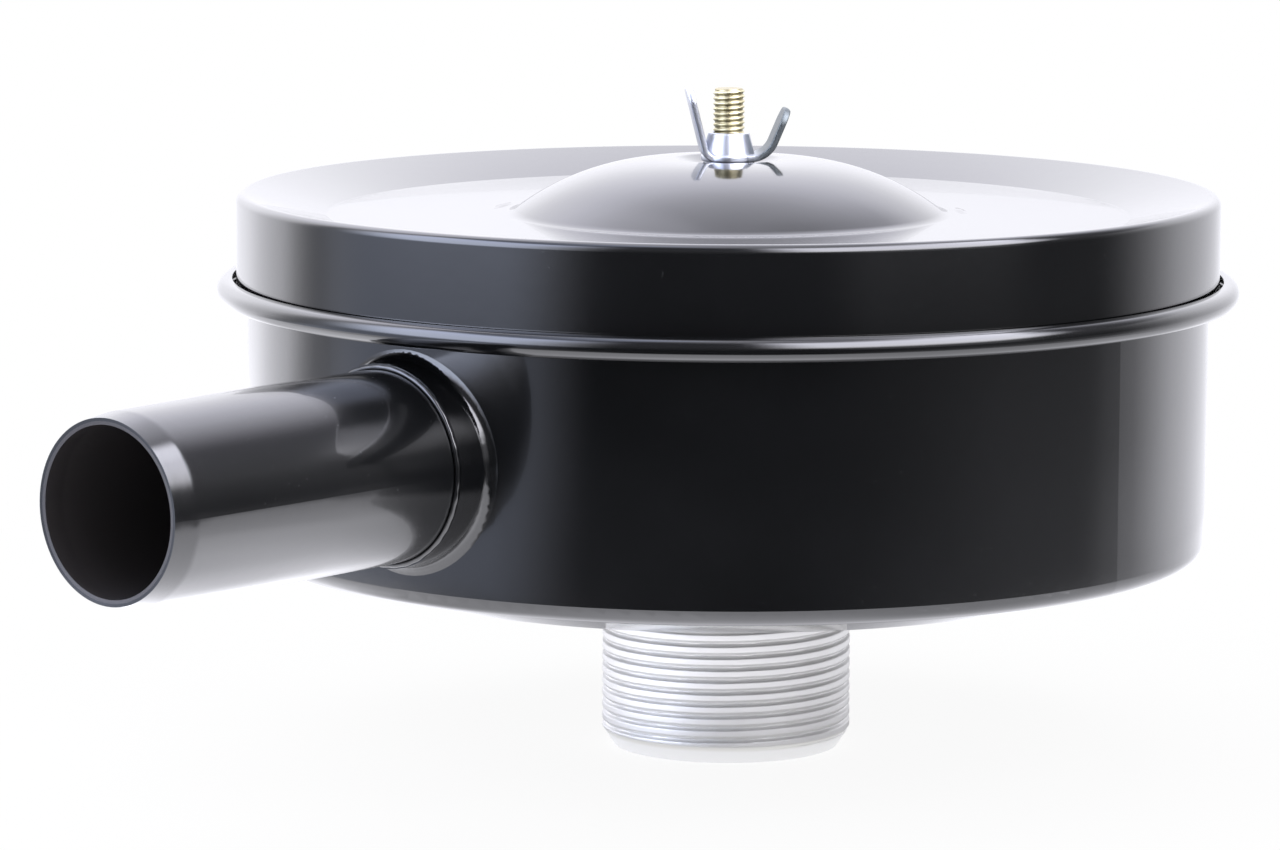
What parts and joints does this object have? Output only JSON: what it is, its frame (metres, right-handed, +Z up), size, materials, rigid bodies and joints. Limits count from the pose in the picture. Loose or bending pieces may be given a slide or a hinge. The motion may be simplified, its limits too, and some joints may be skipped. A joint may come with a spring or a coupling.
{
  "type": "compressor air filter",
  "caption": "Round pressed-steel intake filter with a side inlet tube, a threaded outlet nipple below, a pleated ring element inside and a lid held by a wing nut on a tie stud.",
  "frame": {"origin": "on the outlet nipple's axis, at the flat underside of the pan where the nipple's thread starts", "axes": "+Z up along the nipple and tie stud axis, the inlet tube runs out along -Y"},
  "size_m": [0.195, 0.2645, 0.127],
  "materials": {
    "black_enamel": "gloss black baked enamel on pressed steel",
    "turned_aluminium": "turned, bright",
    "zinc_sheet": "zinc-coated steel sheet",
    "yellow_zinc": "yellow passivated zinc on steel",
    "bright_zinc": "bright zinc on steel",
    "seal_rubber": "matt",
    "gasket_fibre": "compressed fibre sheet",
    "filter_paper": "resin-treated pleated paper"
  },
  "bodies": {
    "housing": {"housing_pan": "black_enamel", "inlet_tube": "black_enamel", "outlet_nipple": "turned_aluminium", "nipple_gasket": "gasket_fibre", "stud_bridge": "zinc_sheet", "flange_rivets": "bright_zinc", "bridge_weld_nut": "bright_zinc", "stud_lock_nut": "bright_zinc", "tie_stud": "yellow_zinc", "element_locator": "zinc_sheet", "element_lower_seal": "seal_rubber", "element_bottom_cap": "zinc_sheet", "filter_media": "filter_paper", "element_core": "zinc_sheet", "element_top_cap": "zinc_sheet", "element_upper_seal": "seal_rubber"},
    "lid": {"lid": "black_enamel", "lid_locator": "zinc_sheet", "lid_rim_gasket": "seal_rubber", "stud_seal_washer": "seal_rubber"},
    "nut_washer": {"wing_nut_washer": "bright_zinc"},
    "nut": {"wing_nut": "bright_zinc"}
  },
  "joints": [
    {"name": "lid_lift", "type": "slide", "parent": "housing", "child": "lid", "axis": [0, 0, 1], "range_m": [0, 0.05]},
    {"name": "nut_turn", "type": "hinge", "parent": "lid", "child": "nut_washer", "pos_m": [0, 0, 0.0783], "axis": [0, 0, 1], "range_deg": [0, 4320]},
    {"name": "nut_rise", "type": "slide", "parent": "nut_washer", "child": "nut", "axis": [0, 0, 1], "range_m": [0, 0.0121]}
  ],
  "couplings": [
    {"joint": "nut_rise", "follows": "nut_turn", "m_per_rad": 0.00015915}
  ]
}
